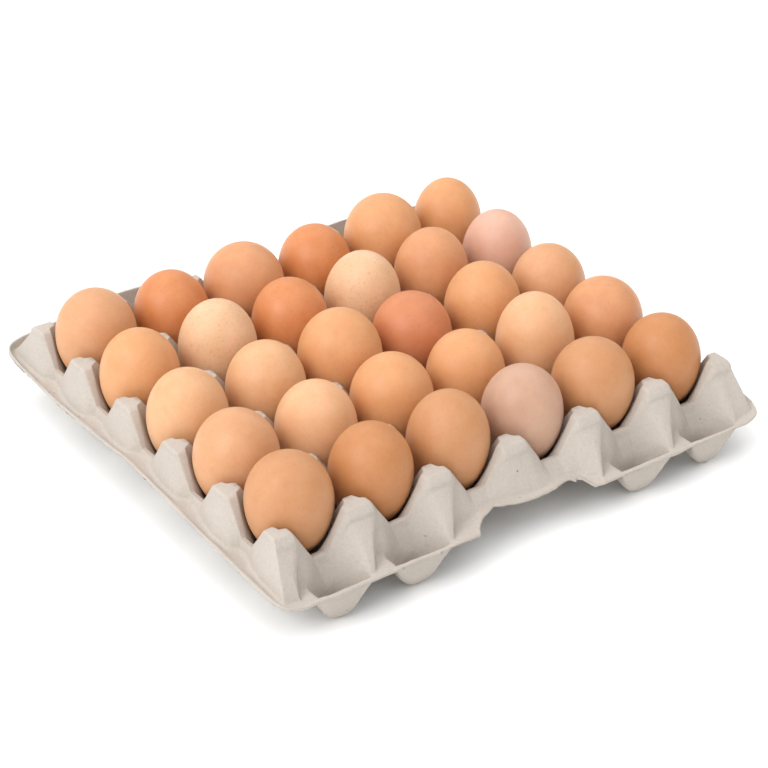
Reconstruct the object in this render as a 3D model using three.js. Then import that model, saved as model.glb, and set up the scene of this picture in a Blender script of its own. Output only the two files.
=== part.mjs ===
// A moulded-pulp tray of thirty cups, six by five, filled with hen's eggs.
//
// Millimetres, +Z up. The origin is on the floor under the middle of the tray. The six-cup rows run along X.
// The tray is one thin shell: truncated posts stand between the cups, low ridges join them, and a flange runs
// round the outside. Along the two long sides the flange is wide, dips into feet under the end cups, and is cut
// back in the middle for the fingers. Along the two short sides it is a narrow gutter with a raised lip.
import * as THREE from "three";

// ---- Driving dimensions -------------------------------------------------------------------------
const COLUMNS = 6;
const ROWS = 5;
const PITCH_X = 47;
const PITCH_Y = 47.8;
const OUTER_POST_INSET = 2; // the outermost posts stand this far inside the even pitch
const PULP = 2.2; // thickness of the moulded pulp

const POST_TOP_Z = 50;
const PLATEAU_HALF = 5.2; // half width of a post's flat top
const PLATEAU_CORNER = 4.4; // the same, measured to its blunted corner along each axis
const OUTER_PLATEAU_HALF = 4; // the outermost posts are slimmer across the edge of the tray
const OUTER_PLATEAU_CORNER = 2.8;
const OUTER_PLATEAU_SHOULDER = 1.8;
const PLATEAU_SHOULDER = 2.6; // half length of each straight edge of the flat top
const SADDLE_Z = 33; // top of the ridge between two posts
const SADDLE_START = 18.8; // distance from a post at which the ridge is level
const RIDGE_HALF = 1.8;

const SEAT_RADIUS = 17.5; // where the cup's wall bends, just below the egg's seat
const SEAT_Z = 28;
const SEAT_SIDES = 16;
const CUP_FLOOR_RADIUS = 8.5;
const CUP_FLOOR_SIDES = 8;

// Reaches are measured outward from the line of the outer posts.
const LONG_WALL_REACH = { post: 16.5, shoulder: 15, saddle: 8 }; // where a long side's wall meets its flange
const LONG_LIP = 26;
const LONG_LIP_Z = 23.2;
const LONG_LIP_WIDTH = 6;
const FOOT_COLUMNS = [0, 1, 4, 5]; // cups with a foot in the long flange beside them
const FOOT_INNER = 12; // a foot's level underside runs from this reach
const FOOT_OUTER = 15.6; // to this one
const NOTCH_HALF = 35; // half length of the finger notch in each long flange
const NOTCH_WALL_REACH = { post: 14.5, shoulder: 13.2, saddle: 8 };
const NOTCH_Z = 26;
const NOTCH_LIP_WIDTH = 5;
const NOTCH_LIP_STEPS = 3; // faces across the notch's lip, as many as across the flange beside it

// The bottom of a short side's gutter runs from one reach to the other.
const GUTTER_INNER = { post: 8.6, shoulder: 8.2, saddle: 6.5 };
const GUTTER_OUTER = { post: 10.4, shoulder: 10.2, saddle: 9 };
const GUTTER_Z = { post: 26.5, shoulder: 26.5, saddle: 22.5 };
const GUTTER_BELOW_LIP = 2; // the gutter is at least this deep
const SHORT_LIP = 14.8;
const SHORT_LIP_Z = 32;
const SHORT_LIP_WIDTH = 2.5;
const CORNER_LIP_Z = 27; // height of a short side's lip where it nears a corner
const CORNER_FALL = 40; // length over which it falls to that height
const CORNER_SECTORS = 3;
const CORNER_SQUARENESS = 4; // exponent of the superellipse that rounds each corner

const EGG_SEGMENTS = 12;
const EGG_BANDS = 7;
const EGG_BLUNTNESS = 0.07; // how much wider an egg is above its middle than below it
const SEAT_CLEARANCE = 0.4; // gap between a shell and the pulp it rests on
const LEAN_PIVOT = 7.3; // an egg leans about this depth below its middle, which keeps it seated
const LEAN_LIMIT = THREE.MathUtils.degToRad(2.2);
const LEAN_SEED = 41;

// Widths and lengths of the sorts of egg, and which sort stands in each cup. The rows go from -Y to +Y.
const EGG_SORTS = {
  broad: { width: 45.7, length: 52.8 },
  round: { width: 44.2, length: 53.4 },
  stout: { width: 44.2, length: 55.5 },
  even: { width: 42.9, length: 57 },
  short: { width: 42.4, length: 55.2 },
  tall: { width: 42.8, length: 59.5 },
  slim: { width: 40.6, length: 60 },
  lofty: { width: 42.8, length: 63 },
  jumbo: { width: 45.6, length: 58 },
};
const EGG_ROWS = [
  ["stout", "even", "tall", "even", "stout", "short"],
  ["stout", "even", "stout", "short", "lofty", "round"],
  ["even", "even", "jumbo", "round", "tall", "short"],
  ["even", "tall", "even", "tall", "tall", "slim"],
  ["stout", "short", "broad", "short", "jumbo", "slim"],
];

// Shell tints, and the eggs that differ from the usual tan one, as "row column" counted from 1.
const SHELL_TINTS = { tan: 0xd9955f, pink: 0xcf9f88, russet: 0xc0683a, rosy: 0xc98258, cream: 0xe0b07c };
const SHELL_EXCEPTIONS = {
  pink: ["1 4", "4 6"],
  russet: ["5 2", "4 3", "5 4"],
  rosy: ["3 4", "4 5", "2 6", "5 3"],
  cream: ["4 2", "4 4", "2 2", "2 5"],
};
const SHELL_ROUGHNESS = 0.55;
const PULP_COLOUR = 0xd8d1c6;
const PULP_ROUGHNESS = 0.95;

// ---- The lattice of posts -----------------------------------------------------------------------
/** Position of ridge line `index` out of `cells` + 1 lines along one axis, at a post or at a saddle. */
function ridgeLine(index, cells, pitch, kind) {
  const even = (index - cells / 2) * pitch;
  if (kind === "saddle") return even;
  if (index === 0) return even + OUTER_POST_INSET;
  if (index === cells) return even - OUTER_POST_INSET;
  return even;
}

const lineX = (index, kind = "post") => ridgeLine(index, COLUMNS, PITCH_X, kind);
const lineY = (index, kind = "post") => ridgeLine(index, ROWS, PITCH_Y, kind);
const cellX = (column) => (column + 0.5 - COLUMNS / 2) * PITCH_X;
const cellY = (row) => (row + 0.5 - ROWS / 2) * PITCH_Y;

/** Stations along the ridge from one post to the next: where its outline bends. */
function ridgeStations(start, end) {
  return [
    { at: start, kind: "post" },
    { at: start + PLATEAU_HALF, kind: "shoulder" },
    { at: start + SADDLE_START, kind: "saddle" },
    { at: end - SADDLE_START, kind: "saddle" },
    { at: end - PLATEAU_HALF, kind: "shoulder" },
  ];
}

const ridgeTopZ = (kind) => (kind === "saddle" ? SADDLE_Z : POST_TOP_Z);

// ---- A surface that is gathered face by face ----------------------------------------------------
/** Collects triangles that share their corners. All of its faces look up when seen from above. */
class Surface {
  constructor() {
    this.points = [];
    this.triangles = [];
    this.indexOf = new Map();
  }

  point([x, y, z]) {
    const stepsPerMillimetre = 1000; // corners closer than one step are the same corner
    const key = [x, y, z].map((value) => Math.round(value * stepsPerMillimetre)).join(" ");
    if (!this.indexOf.has(key)) {
      this.indexOf.set(key, this.points.length);
      this.points.push(new THREE.Vector3(x, y, z));
    }
    return this.indexOf.get(key);
  }

  triangle(a, b, c) {
    const [i, j, k] = [a, b, c].map((corner) => this.point(corner));
    if (i === j || j === k || k === i) return;
    const turn = (b[0] - a[0]) * (c[1] - a[1]) - (b[1] - a[1]) * (c[0] - a[0]);
    this.triangles.push(turn > 0 ? [i, j, k] : [i, k, j]);
  }

  quad(a, b, c, d) {
    this.triangle(a, b, c);
    this.triangle(a, c, d);
  }

  /** Faces between two rows of corners that run side by side. */
  strip(rowA, rowB) {
    for (let k = 0; k + 1 < rowA.length; k += 1) this.quad(rowA[k], rowA[k + 1], rowB[k + 1], rowB[k]);
  }

  /** Faces between two closed rings round `centre`, whose numbers of corners may differ. */
  zip(outer, inner, centre) {
    const angle = ([x, y]) => Math.atan2(y - centre[1], x - centre[0]);
    const ordered = (ring) => [...ring].sort((a, b) => angle(a) - angle(b));
    const [ringA, ringB] = [ordered(outer), ordered(inner)];
    const turned = (ring, k) => angle(ring[k % ring.length]) + 2 * Math.PI * Math.floor(k / ring.length);
    let [a, b] = [0, 0];
    while (a < ringA.length || b < ringB.length) {
      const stepA = b >= ringB.length || (a < ringA.length && turned(ringA, a + 1) <= turned(ringB, b + 1));
      const [cornerA, cornerB] = [ringA[a % ringA.length], ringB[b % ringB.length]];
      this.triangle(cornerA, cornerB, stepA ? ringA[(a + 1) % ringA.length] : ringB[(b + 1) % ringB.length]);
      if (stepA) a += 1;
      else b += 1;
    }
  }

  /** Faces that fill a convex ring. */
  fan(ring) {
    for (let k = 1; k + 1 < ring.length; k += 1) this.triangle(ring[0], ring[k], ring[k + 1]);
  }

  /** Height of the surface over a place in plan, or minus infinity where there is none. */
  heightAt({ x, y }) {
    const place = new THREE.Vector3(x, y, 0);
    const weights = new THREE.Vector3();
    let height = -Infinity;
    for (const triangle of this.triangles) {
      const corners = triangle.map((index) => this.points[index]);
      const plan = corners.map((corner) => new THREE.Vector3(corner.x, corner.y, 0));
      THREE.Triangle.getBarycoord(place, ...plan, weights);
      if (Math.min(...weights) < 0) continue;
      const [a, b, c] = corners.map((corner) => corner.z);
      height = Math.max(height, weights.dot(new THREE.Vector3(a, b, c)));
    }
    return height;
  }
}

/** Corners of a level circle. */
function circle(centre, radius, z, sides) {
  return Array.from({ length: sides }, (_, k) => {
    const angle = ((k + 0.5) / sides) * 2 * Math.PI;
    return [centre[0] + radius * Math.cos(angle), centre[1] + radius * Math.sin(angle), z];
  });
}

// ---- The cups -----------------------------------------------------------------------------------
/** How far a ridge line's tops reach into a cup: less on the outermost lines. */
function ridgeDepth(index, cells) {
  const outermost = index === 0 || index === cells;
  return outermost
    ? { post: OUTER_PLATEAU_CORNER, shoulder: OUTER_PLATEAU_SHOULDER, saddle: RIDGE_HALF }
    : { post: PLATEAU_CORNER, shoulder: PLATEAU_SHOULDER, saddle: RIDGE_HALF };
}

/** The ring of ridge tops round one cup, and the ring just inside it where the cup's wall begins. */
function cupRings(column, row) {
  const [next, above] = [column + 1, row + 1];
  const [x0, x1, y0, y1] = [lineX(column), lineX(next), lineY(row), lineY(above)];
  const [left, right] = [ridgeDepth(column, COLUMNS), ridgeDepth(next, COLUMNS)];
  const [front, back] = [ridgeDepth(row, ROWS), ridgeDepth(above, ROWS)];
  const sides = [
    { from: x0, to: x1, before: left, depth: front, place: (at, kind, d) => [at, lineY(row, kind) + d] },
    { from: y0, to: y1, before: front, depth: right, place: (at, kind, d) => [lineX(next, kind) - d, at] },
    { from: -x1, to: -x0, before: right, depth: back, place: (at, kind, d) => [-at, lineY(above, kind) - d] },
    { from: -y1, to: -y0, before: back, depth: left, place: (at, kind, d) => [lineX(column, kind) + d, -at] },
  ];
  const top = [];
  const edge = [];
  for (const { from, to, before, depth, place } of sides) {
    for (const { at, kind } of ridgeStations(from, to)) {
      const along = kind === "post" ? at + before.post : at;
      top.push([...place(at, kind, 0), ridgeTopZ(kind)]);
      edge.push([...place(along, kind, depth[kind]), ridgeTopZ(kind)]);
    }
  }
  return { top, edge };
}

function addCup(surface, column, row) {
  const centre = [cellX(column), cellY(row)];
  const { top, edge } = cupRings(column, row);
  const seat = circle(centre, SEAT_RADIUS, SEAT_Z, SEAT_SIDES);
  const floor = circle(centre, CUP_FLOOR_RADIUS, PULP, CUP_FLOOR_SIDES);
  surface.strip([...top, top[0]], [...edge, edge[0]]);
  surface.zip(edge, seat, centre);
  surface.zip(seat, floor, centre);
  surface.fan(floor);
}

// ---- The outer walls, the flange and its feet ---------------------------------------------------
/** Stations along one side from a post to the next, both included. */
const sideStations = (start, end) => [...ridgeStations(start, end), { at: end, kind: "post" }];

/** The top of an outer ridge, as [reach, height] outward from the line of the outer posts. */
function ridgeSection(kind) {
  const middle = kind === "saddle" ? OUTER_POST_INSET : 0;
  const half = { post: OUTER_PLATEAU_HALF, shoulder: PLATEAU_SHOULDER, saddle: RIDGE_HALF }[kind];
  return [[middle, ridgeTopZ(kind)], [middle + half, ridgeTopZ(kind)]];
}

/** Section of a long side, as [reach, height] from the ridge to the lip's edge. */
function longSection(kind, at, hasFoot) {
  if (Math.abs(at) < NOTCH_HALF) {
    const step = NOTCH_LIP_WIDTH / NOTCH_LIP_STEPS;
    const reaches = Array.from({ length: NOTCH_LIP_STEPS + 1 }, (_, k) => NOTCH_WALL_REACH[kind] + k * step);
    return [...ridgeSection(kind), ...reaches.map((reach) => [reach, NOTCH_Z])];
  }
  const lipInner = LONG_LIP - LONG_LIP_WIDTH;
  const foot = [[FOOT_INNER, PULP], [FOOT_OUTER, PULP]];
  const flap = [[LONG_WALL_REACH[kind], LONG_LIP_Z], [(LONG_WALL_REACH[kind] + lipInner) / 2, LONG_LIP_Z]];
  return [
    ...ridgeSection(kind),
    ...(kind === "saddle" && hasFoot ? foot : flap),
    [lipInner, LONG_LIP_Z],
    [LONG_LIP, LONG_LIP_Z],
  ];
}

/** Section of a short side, as longSection gives for a long one. */
function shortSection(kind, at) {
  const toCorner = lineY(ROWS) - Math.abs(at);
  const lipZ = THREE.MathUtils.lerp(CORNER_LIP_Z, SHORT_LIP_Z, Math.min(1, toCorner / CORNER_FALL));
  const gutterZ = Math.min(GUTTER_Z[kind], lipZ - GUTTER_BELOW_LIP);
  return [
    ...ridgeSection(kind),
    [GUTTER_INNER[kind], gutterZ],
    [GUTTER_OUTER[kind], gutterZ],
    [SHORT_LIP - SHORT_LIP_WIDTH, lipZ],
    [SHORT_LIP, lipZ],
  ];
}

/** Lays a side's sections out in space: `place` turns a position along the side and a reach into x and y. */
function layRows(stations, sectionAt, place) {
  const sections = stations.map((station) => {
    return sectionAt(station).map(([reach, z]) => [...place(station.at, reach), z]);
  });
  return sections[0].map((_, level) => sections.map((section) => section[level]));
}

function addLongSide(surface, sign) {
  const outer = sign < 0 ? lineY(0) : lineY(ROWS);
  for (let column = 0; column < COLUMNS; column += 1) {
    const hasFoot = FOOT_COLUMNS.includes(column);
    const stations = sideStations(lineX(column), lineX(column + 1));
    const sectionAt = ({ kind, at }) => longSection(kind, at, hasFoot);
    const rows = layRows(stations, sectionAt, (at, reach) => [at, outer + sign * reach]);
    for (let level = 0; level + 1 < rows.length; level += 1) surface.strip(rows[level], rows[level + 1]);
  }
}

function addShortSide(surface, sign) {
  const outer = sign < 0 ? lineX(0) : lineX(COLUMNS);
  for (let row = 0; row < ROWS; row += 1) {
    const stations = sideStations(lineY(row), lineY(row + 1));
    const sectionAt = ({ kind, at }) => shortSection(kind, at);
    const rows = layRows(stations, sectionAt, (at, reach) => [outer + sign * reach, at]);
    for (let level = 0; level + 1 < rows.length; level += 1) surface.strip(rows[level], rows[level + 1]);
  }
}

/** The rounded corner between a long and a short side, as sectors round the corner post. */
function addCorner(surface, signX, signY) {
  const post = [signX < 0 ? lineX(0) : lineX(COLUMNS), signY < 0 ? lineY(0) : lineY(ROWS)];
  const long = longSection("post", post[0], true);
  const short = shortSection("post", post[1]);
  const spokes = [];
  for (let k = 0; k <= CORNER_SECTORS; k += 1) {
    const turn = (k / CORNER_SECTORS) * (Math.PI / 2);
    const alongX = Math.abs(Math.sin(turn)) ** (2 / CORNER_SQUARENESS);
    const alongY = k === CORNER_SECTORS ? 0 : Math.cos(turn) ** (2 / CORNER_SQUARENESS);
    spokes.push(long.map(([longReach, longZ], level) => {
      const [shortReach, shortZ] = short[level];
      return [
        post[0] + signX * shortReach * alongX,
        post[1] + signY * longReach * alongY,
        THREE.MathUtils.lerp(longZ, shortZ, k / CORNER_SECTORS),
      ];
    }));
  }
  for (let k = 0; k < CORNER_SECTORS; k += 1) surface.strip(spokes[k], spokes[k + 1]);
}

// ---- From a surface to a shell ------------------------------------------------------------------
/** How far a corner moves so that every face round it ends up `thickness` lower, square to the face. */
function inset(normals, thickness) {
  const keepSolvable = 1e-3;
  const sum = new THREE.Matrix3().set(keepSolvable, 0, 0, 0, keepSolvable, 0, 0, 0, keepSolvable);
  const pull = new THREE.Vector3();
  for (const { x, y, z } of normals) {
    const outer = [x * x, x * y, x * z, x * y, y * y, y * z, x * z, y * z, z * z];
    outer.forEach((value, k) => {
      sum.elements[k] += value;
    });
    pull.add(new THREE.Vector3(x, y, z).multiplyScalar(-thickness));
  }
  return pull.applyMatrix3(sum.invert());
}

/** Closes a surface into a shell of one thickness, with its underside below it and a rim round the edge. */
function thicken(surface, thickness, floorZ) {
  const around = surface.points.map(() => []);
  const edges = new Map();
  for (const triangle of surface.triangles) {
    const [a, b, c] = triangle.map((index) => surface.points[index]);
    const normal = new THREE.Triangle(a, b, c).getNormal(new THREE.Vector3());
    triangle.forEach((index, k) => {
      const next = triangle[(k + 1) % 3];
      around[index].push(normal);
      if (!edges.delete(`${next} ${index}`)) edges.set(`${index} ${next}`, [index, next]);
    });
  }
  const count = surface.points.length;
  const underside = surface.points.map((point, index) => {
    const lowered = point.clone().add(inset(around[index], thickness));
    lowered.z = point.z === floorZ ? 0 : Math.max(0, lowered.z);
    return lowered;
  });
  const triangles = [...surface.triangles];
  for (const [a, b, c] of surface.triangles) triangles.push([a + count, c + count, b + count]);
  for (const [a, b] of edges.values()) triangles.push([b, a, a + count], [b, a + count, b + count]);
  const geometry = new THREE.BufferGeometry().setFromPoints([...surface.points, ...underside]);
  geometry.setIndex(triangles.flat());
  geometry.computeVertexNormals();
  return geometry;
}

function trayGeometry() {
  const surface = new Surface();
  for (let row = 0; row < ROWS; row += 1) {
    for (let column = 0; column < COLUMNS; column += 1) addCup(surface, column, row);
  }
  for (const sign of [-1, 1]) {
    addLongSide(surface, sign);
    addShortSide(surface, sign);
    for (const signY of [-1, 1]) addCorner(surface, sign, signY);
  }
  return thicken(surface, PULP, PULP);
}

// ---- Eggs ---------------------------------------------------------------------------------------
/** Outline of an egg from its lower tip to its upper one, as points [radius, height] about its middle. */
function eggOutline({ width, length }) {
  const raw = Array.from({ length: EGG_BANDS + 1 }, (_, k) => {
    const angle = (k / EGG_BANDS) * Math.PI;
    const radius = k === 0 || k === EGG_BANDS ? 0 : Math.sin(angle) * (1 - EGG_BLUNTNESS * Math.cos(angle));
    return [radius, (-length / 2) * Math.cos(angle)];
  });
  const widest = Math.max(...raw.map(([radius]) => radius));
  return raw.map(([radius, height]) => [(radius / widest) * (width / 2), height]);
}

function eggGeometry(size, segments) {
  const profile = eggOutline(size).map(([radius, height]) => new THREE.Vector2(radius, height));
  return new THREE.LatheGeometry(profile, segments).rotateX(Math.PI / 2);
}

/** How far a leaning egg must rise so that its shell, one clearance larger, just touches its cup. */
function restingLift(size, placed, cup) {
  const larger = { width: size.width + 2 * SEAT_CLEARANCE, length: size.length + 2 * SEAT_CLEARANCE };
  const { position } = eggGeometry(larger, 2 * EGG_SEGMENTS).applyMatrix4(placed).attributes;
  const lifts = Array.from({ length: position.count }, (_, k) => {
    const point = new THREE.Vector3().fromBufferAttribute(position, k);
    return cup.heightAt(point) - point.z;
  });
  return Math.max(...lifts);
}

const matte = (color, roughness) => new THREE.MeshStandardMaterial({ color, roughness, metalness: 0 });

/** Small repeatable random numbers from 0 to 1, by Lehmer's generator. */
function randomSource(seed) {
  const multiplier = 16807;
  const modulus = 2 ** 31 - 1;
  let state = seed;
  return () => {
    state = (state * multiplier) % modulus;
    return state / modulus;
  };
}

function tintOf(row, column) {
  const place = `${row + 1} ${column + 1}`;
  const found = Object.keys(SHELL_EXCEPTIONS).find((tint) => SHELL_EXCEPTIONS[tint].includes(place));
  return SHELL_TINTS[found ?? "tan"];
}

function eggMesh(row, column, random) {
  const size = EGG_SORTS[EGG_ROWS[row][column]];
  const material = matte(tintOf(row, column), SHELL_ROUGHNESS);
  const mesh = new THREE.Mesh(eggGeometry(size, EGG_SEGMENTS), material);
  mesh.name = `egg_${row + 1}_${column + 1}`;
  mesh.position.set(0, 0, LEAN_PIVOT);
  const seat = new THREE.Group();
  seat.position.set(cellX(column), cellY(row), 0);
  seat.rotation.set((2 * random() - 1) * LEAN_LIMIT, (2 * random() - 1) * LEAN_LIMIT, 0);
  seat.add(mesh);
  seat.updateMatrixWorld(true);
  const cup = new Surface();
  addCup(cup, column, row);
  seat.position.z = restingLift(size, mesh.matrixWorld, cup);
  return seat;
}

// ---- The whole ----------------------------------------------------------------------------------
function buildTrayOfEggs() {
  const group = new THREE.Group();
  const tray = new THREE.Mesh(trayGeometry(), matte(PULP_COLOUR, PULP_ROUGHNESS));
  tray.name = "tray";
  group.add(tray);
  const random = randomSource(LEAN_SEED);
  for (let row = 0; row < ROWS; row += 1) {
    for (let column = 0; column < COLUMNS; column += 1) group.add(eggMesh(row, column, random));
  }
  group.updateMatrixWorld(true);
  return group;
}

const group = buildTrayOfEggs();

export default group;
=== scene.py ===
"""A moulded-pulp tray of thirty brown eggs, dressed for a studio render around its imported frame.

Sizes are in millimetres in the row frame, +Z up, with the origin on the floor under the middle of the tray.
Meshes are turned to metres when they are made.
"""

from __future__ import annotations

import logging
import math
from dataclasses import dataclass
from enum import Enum
from itertools import combinations
from typing import NamedTuple

import bmesh
import bpy
import numpy as np
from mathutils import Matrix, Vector, noise


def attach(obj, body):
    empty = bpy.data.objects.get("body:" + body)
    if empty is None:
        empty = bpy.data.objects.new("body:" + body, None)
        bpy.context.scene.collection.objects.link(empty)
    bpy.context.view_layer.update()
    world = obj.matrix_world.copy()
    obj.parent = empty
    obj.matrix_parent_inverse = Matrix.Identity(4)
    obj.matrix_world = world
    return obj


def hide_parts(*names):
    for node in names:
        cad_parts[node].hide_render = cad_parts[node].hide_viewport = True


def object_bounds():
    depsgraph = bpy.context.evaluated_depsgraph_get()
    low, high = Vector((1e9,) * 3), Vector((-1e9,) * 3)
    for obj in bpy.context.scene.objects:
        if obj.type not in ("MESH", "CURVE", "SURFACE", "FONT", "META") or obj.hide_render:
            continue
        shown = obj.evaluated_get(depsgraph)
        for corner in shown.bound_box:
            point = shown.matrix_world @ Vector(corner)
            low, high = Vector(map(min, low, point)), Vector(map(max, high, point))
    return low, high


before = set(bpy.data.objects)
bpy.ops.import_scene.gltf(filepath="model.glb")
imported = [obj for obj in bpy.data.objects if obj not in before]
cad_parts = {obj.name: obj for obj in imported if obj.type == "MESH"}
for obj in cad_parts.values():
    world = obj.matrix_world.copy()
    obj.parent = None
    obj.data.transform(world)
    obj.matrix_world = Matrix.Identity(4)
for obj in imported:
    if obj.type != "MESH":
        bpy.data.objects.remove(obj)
CAD_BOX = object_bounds()

LOG = logging.getLogger("egg_tray")
MM = 0.001
BODY = "root"
Point = tuple[float, float, float]


# ---- Small tools ----------------------------------------------------------------------------------


def linear(hex_colour: str) -> tuple[float, float, float, float]:
    """Turns an sRGB hex colour into linear RGBA.

    Args:
        hex_colour: Six hex digits after a hash, as in "#d8cfc3".

    Returns:
        Red, green and blue in linear light, and an alpha of one.
    """
    channels = [int(hex_colour[k : k + 2], 16) / 255 for k in (1, 3, 5)]
    light = [c / 12.92 if c <= 0.04045 else ((c + 0.055) / 1.055) ** 2.4 for c in channels]
    return (light[0], light[1], light[2], 1.0)


def add_node(
    tree: bpy.types.NodeTree,
    kind: str,
    settings: dict[str, object] | None = None,
    inputs: dict[str | int, object] | None = None,
) -> bpy.types.Node:
    """Adds a shader node with its settings, and fills or links its inputs.

    Args:
        tree: The tree that gets the node.
        kind: The node's type name, such as "ShaderNodeTexNoise".
        settings: Properties of the node itself.
        inputs: Socket name or number against a plain value, or the output socket that feeds it.

    Returns:
        The new node.
    """
    node = tree.nodes.new(kind)
    for name, value in (settings or {}).items():
        setattr(node, name, value)
    for name, value in (inputs or {}).items():
        if isinstance(value, bpy.types.NodeSocket):
            tree.links.new(value, node.inputs[name])
        else:
            node.inputs[name].default_value = value
    return node


def per_metre(size_mm: float) -> float:
    """Returns a noise texture's scale for features of a real size."""
    return 1 / (size_mm * MM)


def smooth_mesh(name: str, points: np.ndarray, faces: list[tuple[int, ...]]) -> bpy.types.Mesh:
    """Makes a smooth-shaded mesh.

    Args:
        name: The mesh's name.
        points: The points in millimetres, one row each.
        faces: The faces, by the numbers of their points.

    Returns:
        The mesh, in metres.
    """
    mesh = bpy.data.meshes.new(name)
    mesh.from_pydata((points * MM).tolist(), [], faces)
    mesh.update()
    mesh.shade_smooth()
    return mesh


def coordinates(mesh: bpy.types.Mesh) -> np.ndarray:
    """Reads a mesh's vertex places in millimetres.

    Args:
        mesh: The mesh, in metres.

    Returns:
        The places, one row each.
    """
    flat = np.empty(len(mesh.vertices) * 3)
    mesh.vertices.foreach_get("co", flat)
    return flat.reshape(-1, 3) / MM


def applied(obj: bpy.types.Object) -> bpy.types.Mesh:
    """Applies an object's modifiers and clears them.

    Args:
        obj: The object.

    Returns:
        Its mesh with the modifiers applied.
    """
    depsgraph = bpy.context.evaluated_depsgraph_get()
    mesh = bpy.data.meshes.new_from_object(obj.evaluated_get(depsgraph))
    obj.modifiers.clear()
    return mesh


def fractal(place: np.ndarray, layers: dict[float, float], seed: float) -> float:
    """Returns layers of noise, each a feature size against a height, summed at a place, shifted by a seed."""
    offset = Vector((seed, -seed, 2 * seed))
    return sum(height * noise.noise(Vector(place) / size + offset) for size, height in layers.items())


# ---- Finishes -------------------------------------------------------------------------------------


@dataclass(frozen=True)
class MouldedPulp:
    """Recycled-paper pulp, sucked onto a mesh mould and dried.

    The drying leaves a dull, felted skin: grainy and softly lumpy, with pale fibres, faint clouds of
    colour and a few dark flecks of printed paper.
    """

    pale: str = "#c1b8af"
    deep: str = "#b2a9a0"
    damp: str = "#a2988d"
    fleck: str = "#5d554c"
    cloud_mm: float = 22.0
    # A single fibre is too fine to show, so the grain is drawn as coarse as small clumps of them.
    grain_mm: float = 1.1
    felt_mm: float = 3.4
    fleck_mm: float = 7.5
    mottle_mm: float = 1.4
    patch_mm: float = 19.0
    felt_height_mm: float = 0.5
    grain_height_mm: float = 0.2
    roughness: float = 0.93
    sheen: float = 0.25

    def build(self) -> bpy.types.Material:
        """Builds the pulp's material.

        Returns:
            The material.
        """
        material = bpy.data.materials.new("moulded_pulp")
        material.use_nodes = True
        tree = material.node_tree
        shader = tree.nodes["Principled BSDF"]
        shader.inputs["Roughness"].default_value = self.roughness
        shader.inputs["Specular IOR Level"].default_value = self.sheen
        place = add_node(tree, "ShaderNodeTexCoord").outputs["Object"]
        cloud, mottle, patch, felt, grain = (
            add_node(
                tree,
                "ShaderNodeTexNoise",
                inputs={"Vector": place, "Scale": per_metre(size), "Detail": detail, "Roughness": harshness},
            ).outputs["Fac"]
            for size, detail, harshness in (
                (self.cloud_mm, 4.0, 0.6),
                (self.mottle_mm, 3.0, 0.65),
                (self.patch_mm, 1.0, 0.5),
                (self.felt_mm, 3.0, 0.55),
                (self.grain_mm, 2.0, 0.7),
            )
        )
        spots = add_node(
            tree, "ShaderNodeTexVoronoi", inputs={"Vector": place, "Scale": per_metre(self.fleck_mm)}
        )
        mottled, spotted, patched = (
            add_node(
                tree,
                "ShaderNodeMapRange",
                inputs={"Value": field, "From Min": start, "From Max": end, "To Min": first, "To Max": last},
            ).outputs["Result"]
            for field, start, end, first, last in (
                (mottle, 0.4, 0.7, 0.0, 0.32),
                (spots.outputs["Distance"], 0.035, 0.085, 1.0, 0.0),
                (patch, 0.5, 0.58, 0.0, 0.9),
            )
        )
        flecks = add_node(tree, "ShaderNodeMath", {"operation": "MULTIPLY"}, {0: spotted, 1: patched})
        layers = ((cloud, self.pale), (mottled, self.damp), (flecks.outputs[0], self.fleck))
        colour: object = linear(self.deep)
        for mask, shade in layers:
            inputs = {0: mask, 6: colour, 7: linear(shade)}
            colour = add_node(tree, "ShaderNodeMix", {"data_type": "RGBA"}, inputs).outputs[2]
        tree.links.new(colour, shader.inputs["Base Color"])
        soft = add_node(
            tree,
            "ShaderNodeBump",
            inputs={"Height": felt, "Distance": self.felt_height_mm * MM, "Strength": 0.55},
        )
        rough = add_node(
            tree,
            "ShaderNodeBump",
            inputs={
                "Height": grain,
                "Normal": soft.outputs["Normal"],
                "Distance": self.grain_height_mm * MM,
                "Strength": 0.5,
            },
        )
        tree.links.new(rough.outputs["Normal"], shader.inputs["Normal"])
        return material


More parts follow.
